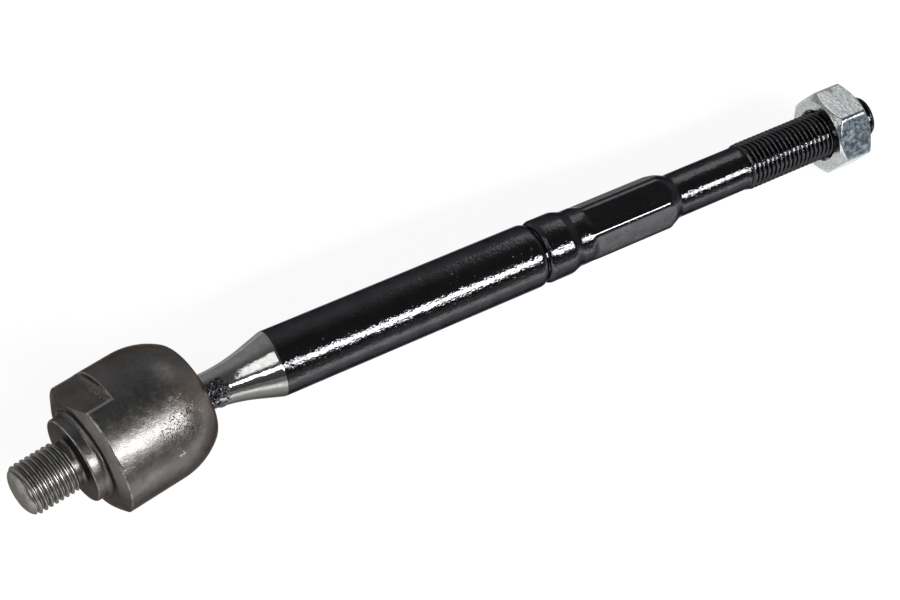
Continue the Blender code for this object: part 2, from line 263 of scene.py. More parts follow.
def axis_and_radius(tree):
    """The two numbers that place a point on the lathe: how far along, and how far out."""
    parts = tree.nodes.new("ShaderNodeSeparateXYZ")
    tree.links.new(place_on_lathe(tree), parts.inputs[0])
    squares = [times(tree, parts.outputs[axis], parts.outputs[axis]) for axis in "YZ"]
    return parts.outputs["X"], maths(tree, "SQRT", maths(tree, "ADD", *squares))


def ring_marks(tree, scale):
    """Fine rings left by a turning tool: grain that changes only along the axis and outwards."""
    along, outward = axis_and_radius(tree)
    join = tree.nodes.new("ShaderNodeCombineXYZ")
    tree.links.new(along, join.inputs["X"])
    tree.links.new(outward, join.inputs["Y"])
    return grain(tree, join.outputs[0], scale, 2.0)


def worn_edge(tree, x, radius, reach):
    """1 along the circle at x and radius, falling to 0 at its reach."""
    along, outward = axis_and_radius(tree)
    off_x = maths(tree, "SUBTRACT", along, x)
    off_r = maths(tree, "SUBTRACT", outward, radius)
    square = maths(tree, "ADD", times(tree, off_x, off_x), times(tree, off_r, off_r))
    return levels(tree, maths(tree, "SQRT", square), reach, reach * 0.4)


print("node helpers are ready")

# %% [markdown]
# ## Bare forged steel
# The housing is a dark forging, turned and left bare under a film of oil: satin, warm grey with
# brown patches. Metal has no colour of its own beyond what it reflects, so the darkness is in the
# base colour and the life is in roughness and grain. The marks of handling each have their place,
# in millimetres on the lathe: a warm zone and a pitted rub by the mouth, three scuffs, a chipped
# patch on the wrench flat, and bare metal on the rims and along the edges of the flat. The bare
# rims also carry a painted highlight that is brightest towards the top.

# %% Forged steel of the housing
SKIN_DARK, SKIN_PALE = (0.102, 0.099, 0.096), (0.142, 0.136, 0.131)
SKIN_STAINED, SKIN_WARM = (0.06, 0.057, 0.055), (0.2, 0.168, 0.146)
SKIN_RUBBED, SKIN_PITTED = (0.26, 0.25, 0.24), (0.03, 0.027, 0.025)
SKIN_SCUFFED, SKIN_BARE_AND_HIGHLIT = (0.5, 0.48, 0.46), (0.3, 0.29, 0.28)
WARM_ZONE = (9.0, -14.0, 7.0), (8.0, 8.0, 9.0)
RUBBED_ZONE = (2.5, -17.3, 2.0), (8.0, 5.0, 6.0)
LONE_PIT = (5.3, -16.6, 5.2), (1.3, 1.3, 1.0)
CHIPPED_ZONE = (-9.6, -3.9, 15.2), (3.0, 7.0, 2.0)
SCUFFS = (
    ((4.0, -15.1, 9.3), (3.2, 1.6, 1.4)),
    ((-14.5, -18.1, 0.5), (3.0, 1.6, 1.0)),
    ((-0.5, -17.6, -4.0), (1.4, 1.0, 1.4)),
)
RIMS_WORN_AND_HIGHLIT = ((-16.0, 17.97, 0.34), (-21.1, 11.3, 0.3), (-17.66, 12.72, 0.16))
WORN_WALL = (-9.0, 18.0, 0.35)

forged_steel, tree, shader = start_finish(
    "forged_steel", (0.105, 0.102, 0.099), 0.34, 1.0, (0.3, 0.28, 0.27)
)
at = place_on_lathe(tree)
patches = levels(tree, grain(tree, at, 0.09, 4.0), 0.35, 0.68)
colour = blend_colour(tree, patches, SKIN_DARK, SKIN_PALE)
stain = grain(tree, shifted(tree, at, (31.0, 7.0, 3.0)), 0.5, 6.0, 0.7)
colour = blend_colour(tree, levels(tree, stain, 0.45, 0.75, 0.0, 0.5), colour, SKIN_STAINED)
warm = levels(tree, spot(tree, *WARM_ZONE), 0.0, 0.8, 0.0, 0.85)
colour = blend_colour(tree, warm, colour, SKIN_WARM)

rubbed = spot(tree, *RUBBED_ZONE)
rub = times(tree, rubbed, grain(tree, scaled(tree, at, (0.4, 1.6, 1.6)), 1.1, 5.0, 0.7))
colour = blend_colour(tree, levels(tree, rub, 0.4, 0.55, 0.0, 0.6), colour, SKIN_RUBBED)
pits = levels(tree, grain(tree, at, 1.9, 5.0, 0.75), 0.55, 0.63)
pits = times(tree, levels(tree, rubbed, 0.0, 0.6), pits)
pits = maths(tree, "MAXIMUM", pits, levels(tree, spot(tree, *LONE_PIT), 0.2, 0.6))
colour = blend_colour(tree, times(tree, pits, 0.5), colour, SKIN_PITTED)

scrape = levels(tree, grain(tree, scaled(tree, at, (0.5, 2.6, 2.6)), 1.0, 4.0, 0.6), 0.5, 0.58)
for centre, radii in SCUFFS:
    scuff = levels(tree, times(tree, spot(tree, centre, radii), scrape), 0.15, 0.4)
    colour = blend_colour(tree, scuff, colour, SKIN_SCUFFED)
chips = levels(tree, grain(tree, at, 1.5, 3.0, 0.7), 0.5, 0.6)
chips = times(tree, levels(tree, spot(tree, *CHIPPED_ZONE), 0.05, 0.5), chips)
colour = blend_colour(tree, times(tree, chips, 0.7), colour, SKIN_BARE_AND_HIGHLIT)

upward = coordinate(tree, at, "Z")
height = maths(tree, "ABSOLUTE", upward)
along, outward = axis_and_radius(tree)
# painted highlight on the bare rims: their colour is lighter towards the top and fades below
rim_wear_and_highlight = levels(tree, grain(tree, at, 0.6, 3.0), 0.35, 0.6)
rim_wear_and_highlight = times(tree, rim_wear_and_highlight, levels(tree, upward, -14.0, 4.0, 0.25, 1.0))
for x, radius, reach in RIMS_WORN_AND_HIGHLIT:
    bright_rim = times(tree, worn_edge(tree, x, radius, reach), rim_wear_and_highlight)
    colour = blend_colour(tree, bright_rim, colour, SKIN_BARE_AND_HIGHLIT)
flat_edge = band(tree, height, (14.7, 14.9), (15.1, 15.3))
flat_edge = times(tree, flat_edge, levels(tree, outward, 17.7, 17.9))
flat_edge = times(tree, flat_edge, levels(tree, along, -8.7, -8.9))
wall_edge = times(tree, worn_edge(tree, *WORN_WALL), levels(tree, height, 15.0, 15.2))
colour = blend_colour(tree, maths(tree, "MAXIMUM", flat_edge, wall_edge), colour, SKIN_BARE_AND_HIGHLIT)

roughness = levels(tree, grain(tree, at, 0.7, 5.0, 0.65), 0.3, 0.75, 0.28, 0.43)
skin = relief(tree, grain(tree, at, 1.6, 4.0, 0.65), 0.05)
skin = relief(tree, grain(tree, at, 0.35, 2.0), 0.07, skin)
skin = relief(tree, chips, 0.15, skin)
end_finish(tree, shader, colour, roughness, relief(tree, pits, -0.22, skin))
print("finish:", forged_steel.name)

# %% [markdown]
# ## Machined steel
# The stud is rolled and the neck is drawn smooth, so both are brighter than the forging, with fine
# rings round the stud and fine streaks along the neck. The neck's colour is darker below: painted
# shade. Grease is a thick black liquid: hardly any colour and a wet shine.

# %% Steel of the stud and of the neck
STUD_PALE, STUD_DARK = (0.25, 0.242, 0.234), (0.16, 0.154, 0.148)
NECK_PALE, NECK_DARK = (0.37, 0.365, 0.358), (0.29, 0.286, 0.28)
NECK_SPECK, NECK_SHADE = (0.06, 0.059, 0.058), (0.105, 0.103, 0.1)
GREASE_BLACK, GREASE_IOR = (0.005, 0.005, 0.007), 1.48

stud_steel, tree, shader = start_finish(
    "stud_steel", (0.17, 0.165, 0.16), 0.2, 1.0, (0.4, 0.38, 0.36)
)
at = place_on_lathe(tree)
cloud = levels(tree, grain(tree, at, 0.5, 4.0, 0.6), 0.4, 0.7)
colour = blend_colour(tree, cloud, STUD_PALE, STUD_DARK)
roughness = levels(tree, grain(tree, at, 1.0, 3.0), 0.3, 0.7, 0.3, 0.42)
rings = relief(tree, ring_marks(tree, 6.0), 0.012)
end_finish(tree, shader, colour, roughness, relief(tree, grain(tree, at, 1.5, 2.0), 0.015, rings))

neck_steel, tree, shader = start_finish(
    "neck_steel", (0.36, 0.355, 0.35), 0.1, 1.0, (0.4, 0.39, 0.38)
)
at = place_on_lathe(tree)
cloud = grain(tree, at, 0.5, 5.0, 0.65)
colour = blend_colour(tree, levels(tree, cloud, 0.4, 0.72), NECK_PALE, NECK_DARK)
speckle = levels(tree, grain(tree, at, 1.7, 3.0, 0.65), 0.5, 0.6, 0.0, 0.12)
colour = blend_colour(tree, speckle, colour, NECK_SPECK)
# painted shade: the neck's colour darkens towards its lower side
above = levels(tree, coordinate(tree, at, "Z"), -3.0, 3.5)
colour = blend_colour(tree, above, NECK_SHADE, colour)
roughness = levels(tree, cloud, 0.3, 0.7, 0.07, 0.13)
streaks = grain(tree, scaled(tree, at, (0.12, 1.2, 1.2)), 1.0, 4.0, 0.6)
drawn = relief(tree, grain(tree, at, 1.6, 1.5, 0.5), 0.025, relief(tree, streaks, 0.035))
end_finish(tree, shader, colour, roughness, drawn)

wet_grease, tree, shader = start_finish("wet_grease", GREASE_BLACK, 0.08)
shader.inputs["IOR"].default_value = GREASE_IOR
at = place_on_lathe(tree)
roughness = levels(tree, grain(tree, at, 0.9, 3.0), 0.3, 0.7, 0.05, 0.12)
end_finish(tree, shader, None, roughness, relief(tree, grain(tree, at, 1.0, 2.0, 0.5), 0.16))
print("finishes:", stud_steel.name, neck_steel.name, wet_grease.name)

# %% [markdown]
# ## Thick black paint
# The bar was dipped: a deep gloss black with an orange peel that frays the edges of every
# highlight, and a few grains of dust. The hexagon's faces were pressed, so they are smoother. Such
# a black sends back hardly anything but mirror light, so it is made as a metal with a very dark
# colour, and the tint keeps its rims black as well.

# %% Black paint
PAINT_DARK, PAINT_HAZE = (0.052, 0.052, 0.055), (0.068, 0.068, 0.072)
PRESSED_FROM, PRESSED_TO = (128.0, 130.5), (155.0, 157.0)

black_paint, tree, shader = start_finish(
    "black_paint", (0.056, 0.056, 0.059), 0.1, 1.0, (0.31, 0.31, 0.32)
)
at = place_on_lathe(tree)
haze = levels(tree, grain(tree, at, 0.25, 4.0), 0.35, 0.7)
colour = blend_colour(tree, haze, PAINT_DARK, PAINT_HAZE)
roughness = levels(tree, grain(tree, at, 0.6, 4.0), 0.3, 0.7, 0.05, 0.11)
dust = levels(tree, grain(tree, at, 1.2, 1.0), 0.72, 0.8)
peel = relief(tree, dust, 0.06, relief(tree, grain(tree, at, 0.45, 1.0), 0.05))
pressed = band(tree, coordinate(tree, at, "X"), PRESSED_FROM, PRESSED_TO)
uneven = levels(tree, pressed, 0.0, 1.0, 1.0, 0.3)
frayed = times(tree, grain(tree, at, 1.35, 2.2, 0.55), uneven)
end_finish(tree, shader, colour, roughness, relief(tree, frayed, 0.09, peel))
print("finish:", black_paint.name)

# %% [markdown]
# ## Zinc plating
# The nut is plated: bright grey, mottled by the crystals of the plating, with pale grains and
# small smudges. One flat, told by its normal, has painted shade and reflection: darker and blue.
# The turned cone of the front chamfer has a painted highlight, almost white; one corner is dirty.

# %% Zinc of the nut
ZINC_DARK, ZINC_PALE, ZINC_GRAIN = (0.38, 0.4, 0.4), (0.52, 0.54, 0.535), (0.62, 0.635, 0.625)
SHADED_FACET_DARK, SHADED_FACET_PALE = (0.075, 0.096, 0.12), (0.24, 0.268, 0.295)
CONE_HIGHLIGHT, DIRT_GREY, SMUDGE_GREY = (0.82, 0.83, 0.83), (0.16, 0.165, 0.17), (0.2, 0.21, 0.22)
SHADED_FACET_NORMAL = (0.0, -0.866, 0.5)
DIRTY_CORNER = (216.0, 4.8, 10.8), (1.8, 2.6, 1.4)

zinc_plate, tree, shader = start_finish("zinc_plate", (0.66, 0.69, 0.7), 0.32, 1.0)
at = place_on_lathe(tree)
mottle = grain(tree, at, 0.8, 5.0, 0.65)
colour = blend_colour(tree, levels(tree, mottle, 0.35, 0.68), ZINC_DARK, ZINC_PALE)
pale_grains = levels(tree, grain(tree, at, 1.6, 3.0, 0.6), 0.55, 0.64, 0.0, 0.7)
colour = blend_colour(tree, pale_grains, colour, ZINC_GRAIN)
# painted shade and reflection: the flat facing this normal is coloured darker and blue
facet_shade = blend_colour(tree, levels(tree, mottle, 0.4, 0.62), SHADED_FACET_DARK, SHADED_FACET_PALE)
shaded_facet = levels(tree, measured(tree, "DOT_PRODUCT", at, SHADED_FACET_NORMAL), 10.75, 10.95)
colour = blend_colour(tree, shaded_facet, colour, facet_shade)
along, outward = axis_and_radius(tree)
# painted highlight: the front chamfer cone is coloured almost white
cone_highlight = times(tree, levels(tree, along, 208.2, 207.6), levels(tree, outward, 10.5, 10.9))
cone_highlight = times(tree, cone_highlight, levels(tree, shaded_facet, 0.6, 0.0))
colour = blend_colour(tree, cone_highlight, colour, CONE_HIGHLIGHT)
dirt = times(tree, spot(tree, *DIRTY_CORNER), grain(tree, at, 1.2, 3.0, 0.6))
colour = blend_colour(tree, levels(tree, dirt, 0.2, 0.4, 0.0, 0.8), colour, DIRT_GREY)
smudge = grain(tree, shifted(tree, at, (5.0, 2.0, 9.0)), 0.33, 5.0, 0.7)
colour = blend_colour(tree, levels(tree, smudge, 0.58, 0.74, 0.0, 0.6), colour, SMUDGE_GREY)
roughness = levels(tree, mottle, 0.3, 0.7, 0.13, 0.22)
roughness = maths(tree, "ADD", roughness, times(tree, shaded_facet, 0.12))
cells = tree.nodes.new("ShaderNodeTexVoronoi")
tree.links.new(at, cells.inputs["Vector"])
cells.inputs["Scale"].default_value = 0.9
crystals = relief(tree, cells.outputs["Distance"], 0.025)
end_finish(tree, shader, colour, roughness, relief(tree, mottle, 0.05, crystals))
print("finish:", zinc_plate.name)

# %% [markdown]
# ## Moulded bearing plastic
# The shell hides in the socket and shows only through the mouth when the rod swings. Its solid is
# right as it is, so it keeps its mesh and gets a pale, greasy plastic with flow marks.

# %% Plastic of the bearing shell
SHELL_PALE, SHELL_STAINED = (0.72, 0.7, 0.65), (0.55, 0.5, 0.42)

bearing_plastic, tree, shader = start_finish("bearing_plastic", (0.7, 0.68, 0.62), 0.35)
place = tree.nodes.new("ShaderNodeTexCoord").outputs["Object"]
flow = grain(tree, scaled(tree, place, (1.0 / MM,) * 3), 0.4, 4.0)
colour = blend_colour(tree, levels(tree, flow, 0.3, 0.7), SHELL_PALE, SHELL_STAINED)
roughness = levels(tree, flow, 0.3, 0.7, 0.25, 0.5)
end_finish(tree, shader, colour, roughness, relief(tree, flow, 0.03))
shell = frame["nodes"]["bearing_shell"]
shell.data.materials.clear()
shell.data.materials.append(bearing_plastic)
print("finish:", bearing_plastic.name)

# %% [markdown]
# ## Turning a profile
# A lathe cuts round shapes from a profile, and so does Spin: a few points from the axis outwards
# and back to the axis, turned through a full circle and merged where it closes. Corners are drawn
# as small arcs, because a real edge is never sharp and its round catches the light.

# %% Lathe helpers
ROUND_STEPS = 180
WELD = 0.0005
SHARP_ANGLE = math.radians(32.0)


def arc(centre_x, centre_r, radius, start, end, step=4.0):
    """Points of an arc in the profile, from one angle to another in degrees, measured from +X."""
    count = max(2, math.ceil(abs(end - start) / step))
    angles = [math.radians(start + (end - start) * index / count) for index in range(count + 1)]
    return [(centre_x + radius * math.cos(a), centre_r + radius * math.sin(a)) for a in angles]


def ramp(x, start, length):
    """0 up to start, 1 from start + length, and straight between them."""
    return min(max((x - start) / length, 0.0), 1.0)


def ease(share):
    """The way from 0 to 1 with a gentle start and end."""
    return share * share * (3.0 - 2.0 * share)


def spin_once(mesh, profile, steps, closed=False, advance=0.0):
    """Spin (x, radius) points once round the axis, with an advance along it at each step."""
    points = [mesh.verts.new((x, 0.0, radius)) for x, radius in profile]
    lines = [mesh.edges.new(pair) for pair in zip(points, points[1:] + points[:closed])]
    bmesh.ops.spin(
        mesh,
        geom=points + lines,
        cent=(0.0, 0.0, 0.0),
        axis=(1.0, 0.0, 0.0),
        dvec=(advance, 0.0, 0.0),
        angle=2.0 * math.pi,
        steps=steps,
        use_merge=not advance,
    )


def turn_on_lathe(profile, steps=ROUND_STEPS, closed=False):
    """A solid from a profile, open from axis to axis or closed as the section of a ring."""
    mesh = bmesh.new()
    spin_once(mesh, profile, steps, closed)
    bmesh.ops.remove_doubles(mesh, verts=mesh.verts, dist=WELD)
    bmesh.ops.recalc_face_normals(mesh, faces=mesh.faces)
    return mesh


def set_radius(vert, wanted):
    """Move a point straight out from the axis or in towards it."""
    radius = math.hypot(vert.co.y, vert.co.z)
    vert.co.y *= wanted / radius
    vert.co.z *= wanted / radius


def add_mesh(mesh, name):
    data = bpy.data.meshes.new(name)
    mesh.to_mesh(data)
    mesh.free()
    return add_object(name, data)


def finish_piece(mesh, name, place, finish, body):
    """Keep the lathe coordinates, move the mesh to its place and let it ride on a body."""
    layer = mesh.verts.layers.float_vector.new(PLACE_LAYER)
    for vert in mesh.verts:
        vert[layer] = vert.co
    for face in mesh.faces:
        face.smooth = True
    for edge in mesh.edges:
        edge.smooth = edge.is_manifold and edge.calc_face_angle() < SHARP_ANGLE
    bmesh.ops.transform(mesh, matrix=place, verts=mesh.verts)
    open_edges = sum(not edge.is_manifold for edge in mesh.edges)
    piece = add_mesh(mesh, name)
    piece.data.materials.append(finish)
    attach(piece, body)
    print(f"{name}: {len(piece.data.polygons)} faces, {open_edges} open edges")
    return piece


# %% [markdown]
# ## Winding a screw thread
# A thread is one tooth carried round and along: Spin again, now with a step along the axis for
# each step of the turn. One tooth spans exactly one pitch, so each turn closes on the one before.
# The ends are cut square, and the crests are then pressed down to whatever shape the end has.

# %% Thread helpers
PITCH = 1.5
CREST, ROOT = 6.9, 5.99
TOOTH_STEPS = 96
TOOTH = (
    (0.0, 0.0), (0.1, 0.05), (0.2, 0.33), (0.36, 0.84), (0.43, 0.98), (0.5, 1.0),
    (0.57, 0.98), (0.64, 0.84), (0.8, 0.33), (0.9, 0.05), (1.0, 0.0),
)
THREAD_WELD = 0.002
CUT_SNAP, CUT_REACH = 0.001, 0.01


def cut_square(mesh, x, drop_beyond):
    """Cut square at x, drop what lies beyond it or before it, and close the end."""
    bmesh.ops.bisect_plane(
        mesh,
        geom=mesh.verts[:] + mesh.edges[:] + mesh.faces[:],
        dist=CUT_SNAP,
        plane_co=(x, 0.0, 0.0),
        plane_no=(1.0, 0.0, 0.0),
        clear_outer=drop_beyond,
        clear_inner=not drop_beyond,
    )
    rim = [
        edge for edge in mesh.edges
        if edge.is_boundary and all(abs(v.co.x - x) < CUT_REACH for v in edge.verts)
    ]
    bmesh.ops.contextual_create(mesh, geom=rim)


def wind_thread(start, end, limit, base=None):
    """A threaded bar from start to end.

    limit(x) is the greatest radius at x. base(x), if given, says how far the thread has grown out
    of the plain bar: a radius and a share from 0, plain, to 1, full thread.
    """
    mesh = bmesh.new()
    turns = math.ceil((end - start) / PITCH) + 3
    first = start - 2.0 * PITCH
    tooth = [(first + PITCH * u, ROOT + (CREST - ROOT) * h) for u, h in TOOTH]
    spin_once(mesh, tooth, TOOTH_STEPS, advance=PITCH / TOOTH_STEPS)
    one_turn = mesh.verts[:] + mesh.edges[:] + mesh.faces[:]
    for turn in range(1, turns):
        copied = bmesh.ops.duplicate(mesh, geom=one_turn)["geom"]
        moved = [item for item in copied if isinstance(item, bmesh.types.BMVert)]
        bmesh.ops.translate(mesh, verts=moved, vec=(PITCH * turn, 0.0, 0.0))
    bmesh.ops.remove_doubles(mesh, verts=mesh.verts, dist=THREAD_WELD)
    cut_square(mesh, start, drop_beyond=False)
    cut_square(mesh, end, drop_beyond=True)
    for vert in mesh.verts:
        wanted = math.hypot(vert.co.y, vert.co.z)
        if base is not None:
            plain, share = base(vert.co.x)
            wanted = plain + (wanted - plain) * share
        set_radius(vert, min(wanted, limit(vert.co.x)))
    bmesh.ops.recalc_face_normals(mesh, faces=mesh.faces)
    return mesh


# %% [markdown]
# ## The socket housing
# One forging: collar, barrel and the mouth rolled over the ball. The profile starts where the
# thread ends, runs out over the collar and the barrel, round the lip, and back through the cavity
# where the shell and the ball sit. The mouth is the cone that the neck needs at the limit of its
# swing.

# %% Profile of the housing
RACK_SEAT, THREAD_STOP = -21.2, -22.9
UNDERCUT, UNDERCUT_ROUND = 6.0, 0.8
COLLAR, COLLAR_ROUND = 11.55, 0.5
COLLAR_FILLET, FILLET_RING = 1.3, 0.2
BARREL, BARREL_FRONT = 18.1, -17.7
FRONT_SLOPE, FRONT_SLOPE_START = math.radians(27.5), 14.9
SLOPE_CORNER = ((-0.2, 0.0), (0.06, 0.015), (0.35, 0.0))
EDGE_ROUND = 0.5
DOME, DOME_SWEEP = 19.0, 36.7
LIP, LIP_NOSE, LIP_LENGTH = 5.3, 0.5, 2.3
LIP_CORNER = (0.1, 0.12)
CAVITY, CAVITY_BACK_ANGLE = 15.1, 164.6
POCKET_END, POCKET = -15.56, 4.0
SWING_LIMIT = math.radians(21.0)
NECK_REACH = 5.2


def mouth_radius(x):
    return x * math.tan(SWING_LIMIT) + NECK_REACH / math.cos(SWING_LIMIT)


throat_angle = math.degrees(SWING_LIMIT + math.asin(NECK_REACH / CAVITY))
lip_front = CAVITY * math.cos(math.radians(throat_angle)) + LIP_LENGTH
sweep = math.radians(DOME_SWEEP)
lip_r = BARREL - DOME * (1.0 - math.cos(sweep)) - LIP * math.cos(sweep)
lip_stop = math.degrees(math.asin((mouth_radius(lip_front) + LIP_NOSE - lip_r) / LIP))
lip_x = lip_front - LIP * math.cos(math.radians(lip_stop))
dome_x = lip_x - (DOME - LIP) * math.sin(sweep)
nose = (lip_front - LIP_NOSE, mouth_radius(lip_front - LIP_NOSE))

housing_profile = [(THREAD_STOP, 0.0), (THREAD_STOP, UNDERCUT)]
housing_profile += arc(
    RACK_SEAT - UNDERCUT_ROUND, UNDERCUT + UNDERCUT_ROUND, UNDERCUT_ROUND, -90.0, 0.0, 12.0
)
housing_profile += arc(
    RACK_SEAT + COLLAR_ROUND, COLLAR - COLLAR_ROUND, COLLAR_ROUND, 180.0, 90.0, 10.0
)
fillet_x, fillet_r = BARREL_FRONT - COLLAR_FILLET, COLLAR + COLLAR_FILLET
for rise, start, end, step in (
    (0.0, -90.0, -24.0, 6.0), (FILLET_RING, -19.0, -13.0, 6.0), (0.0, -8.0, 0.0, 4.0)
):
    housing_profile += arc(fillet_x, fillet_r, COLLAR_FILLET + rise, start, end, step)
for out, sink in SLOPE_CORNER:
    x = BARREL_FRONT + max(out, 0.0) * math.tan(FRONT_SLOPE) + sink
    housing_profile.append((x, FRONT_SLOPE_START + out))
edge_x = BARREL_FRONT + (BARREL - FRONT_SLOPE_START) * math.tan(FRONT_SLOPE)
edge_x += EDGE_ROUND * math.tan((math.pi / 2.0 - FRONT_SLOPE) / 2.0)
edge_start = 180.0 - math.degrees(FRONT_SLOPE)
housing_profile += arc(edge_x, BARREL - EDGE_ROUND, EDGE_ROUND, edge_start, 90.0, 12.0)
housing_profile += [(edge_x + share * (dome_x - edge_x), BARREL) for share in (0.3, 0.6, 0.8)]
housing_profile += arc(dome_x, BARREL - DOME, DOME, 90.0, 90.0 - DOME_SWEEP, 2.0)
housing_profile += arc(lip_x, lip_r, LIP, 90.0 - DOME_SWEEP, lip_stop, 4.0)[1:]
housing_profile += [(lip_front - LIP_CORNER[0], mouth_radius(lip_front) + LIP_CORNER[1]), nose]
housing_profile += arc(0.0, 0.0, CAVITY, throat_angle, CAVITY_BACK_ANGLE, 4.0)
housing_profile += [(POCKET_END, POCKET), (POCKET_END, 0.0)]
print("barrel straight to", round(dome_x, 2), "and lip at", round(lip_front, 2))

# %% Turn the housing
housing_mesh = turn_on_lathe(housing_profile)
print("turned faces:", len(housing_mesh.faces))

# %% [markdown]
# ## Milling the flats
# A cutter leaves a flat, a wall where it stops and a round between them. The cutter is drawn as
# that outline, pushed across the barrel, and taken off by a Boolean, once for each flat. Only then
# are the edges of the cut softened.

# %% Mill the flats
FLAT_HEIGHT = 15.0
FLAT_END = BARREL_FRONT + 8.7
WALL_ROUND = 1.6
CUTTER_LEAD, CUTTER_TOP, CUTTER_SIDE = 2.0, 24.0, 22.0
CUT_EDGE_ANGLE = math.radians(26.0)
CUT_EDGE_WIDTH = 0.16
ON_FLAT = 0.01


def cutter_for(turn):
    """The space that a milling cutter sweeps for the flat at a turn round the axis."""
    cutter = bmesh.new()
    front = BARREL_FRONT - CUTTER_LEAD
    outline = [(front, CUTTER_TOP), (front, FLAT_HEIGHT)]
    outline += arc(FLAT_END - WALL_ROUND, FLAT_HEIGHT + WALL_ROUND, WALL_ROUND, -90.0, 0.0, 10.0)
    outline += [(FLAT_END, CUTTER_TOP)]
    face = cutter.faces.new([cutter.verts.new((x, -CUTTER_SIDE, z)) for x, z in outline])
    swept = bmesh.ops.extrude_face_region(cutter, geom=[face])["geom"]
    moved = [item for item in swept if isinstance(item, bmesh.types.BMVert)]
    bmesh.ops.translate(cutter, verts=moved, vec=(0.0, 2.0 * CUTTER_SIDE, 0.0))
    bmesh.ops.rotate(
        cutter, verts=cutter.verts, cent=(0.0, 0.0, 0.0), matrix=Matrix.Rotation(turn, 3, "X")
    )
    bmesh.ops.recalc_face_normals(cutter, faces=cutter.faces)
    return cutter


blank = add_mesh(housing_mesh, "housing_blank")
cutters = [add_mesh(cutter_for(turn), "flat_cutter") for turn in (0.0, math.pi)]
for cutter in cutters:
    cut = blank.modifiers.new("flat", "BOOLEAN")
    cut.operation = "DIFFERENCE"
    cut.solver = "EXACT"
    cut.object = cutter
milled = blank.evaluated_get(bpy.context.evaluated_depsgraph_get())
housing_mesh = bmesh.new()
housing_mesh.from_mesh(milled.to_mesh())
for thing in [blank] + cutters:
    bpy.data.objects.remove(thing)
rims = [
    edge for edge in housing_mesh.edges
    if edge.is_manifold and edge.calc_face_angle() > CUT_EDGE_ANGLE and all(
        abs(v.co.z) > FLAT_HEIGHT - ON_FLAT and v.co.x < FLAT_END + ON_FLAT for v in edge.verts
    )
]
bmesh.ops.bevel(
    housing_mesh, geom=rims, offset=CUT_EDGE_WIDTH, offset_type="OFFSET", affect="EDGES",
    segments=2, profile=0.5, material=-1, clamp_overlap=True,
)
print("softened edges:", len(rims))
bmesh.ops.recalc_face_normals(housing_mesh, faces=housing_mesh.faces)
housing = finish_piece(
    housing_mesh, "forged_housing", housing_place, forged_steel, "housing"
)
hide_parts("socket_housing")

# %% [markdown]
# ## The stud
# The stud screws into the steering rack. Its thread runs out into the undercut, and its end is
# domed so that it finds the hole.

# %% Stud thread
STUD_TIP = -37.0
STUD_TIP_RADIUS, STUD_TIP_LENGTH = 2.8, 3.0


def stud_limit(x):
    share = ramp(x, STUD_TIP, STUD_TIP_LENGTH)
    dome = STUD_TIP_RADIUS + (CREST - STUD_TIP_RADIUS) * math.sqrt(1.0 - (1.0 - share) ** 2)
    return min(dome, UNDERCUT + max(THREAD_STOP - x, 0.0))


stud_mesh = wind_thread(STUD_TIP, THREAD_STOP, stud_limit)
finish_piece(stud_mesh, "stud_thread", housing_place, stud_steel, "housing")

# %% [markdown]
# ## The ball, the neck and the cone
# The bar starts as a ball. Behind the narrow neck it widens in a long hollow curve to the full
# shank, and it is bare up to the line where the paint begins.

# %% Ball, neck and cone
BALL, BALL_BACK, BALL_BACK_ANGLE = 12.5, -12.0, 163.7
NECK, NECK_END = 4.85, 14.5
FLARE, FLARE_SWEEP, FLARE_END = 48.0, 17.6, 35.01
SHANK, PAINT_LINE, PAINT_STEP = 9.0, 35.4, 0.06
FLARE_EASE = (0.25, 0.07)

bare_shank = SHANK - PAINT_STEP
neck_angle = math.degrees(math.asin(NECK / BALL))
bare_profile = [(BALL_BACK, 0.0)]
bare_profile += arc(0.0, 0.0, BALL, BALL_BACK_ANGLE, neck_angle, 3.0)
bare_profile += arc(NECK_END, NECK + FLARE, FLARE, -90.0, -90.0 + FLARE_SWEEP, 1.0)
bare_profile += [(FLARE_END - FLARE_EASE[0], bare_shank - FLARE_EASE[1]), (FLARE_END, bare_shank)]
bare_profile += [(PAINT_LINE, bare_shank), (PAINT_LINE, 0.0)]
bare_mesh = turn_on_lathe(bare_profile)
finish_piece(bare_mesh, "ball_and_neck", rod_place, neck_steel, "rod")

# %% [markdown]
# ## Grease by the mouth
# Grease pushed out of the joint lies on the neck: black, wet and lumpy. It is a sheet bent round
# the neck, lifted by noise where it is thick and sunk under the steel where there is none, and
# then extruded inwards so that it is a closed piece. It is held down where the lip of the mouth
# passes over it at the limit of the swing. Vector noise would take its seed from the clock, so it
# is given one, and the grease is the same on each run.

# %% Grease on the neck
GREASE_FROM, GREASE_TO = 13.9, 21.8
GREASE_ANGLES = (5.0, 112.0)
GREASE_GRID = 110
LIP_ROOM, OPEN_ROOM = 0.24, 0.6
LIP_PASSES, LIP_CLEARS_IN = 16.4, 0.7
GREASE_SUNK, GREASE_INSIDE = -0.2, 0.85
GREASE_SEED = 3


def grease_thickness(place):
    """Lumps and strands from three sizes of noise."""
    folds = noise.turbulence_vector(place * 0.9, 3, False)
    lump = noise.noise(place * 0.55 + Vector((3.0, 1.0, 7.0)))
    strand = 0.26 - 1.2 * abs(noise.noise(place * 0.7 + 0.4 * folds))
    return max(lump, strand) + 0.12 * noise.noise(place * 1.9) + 0.08


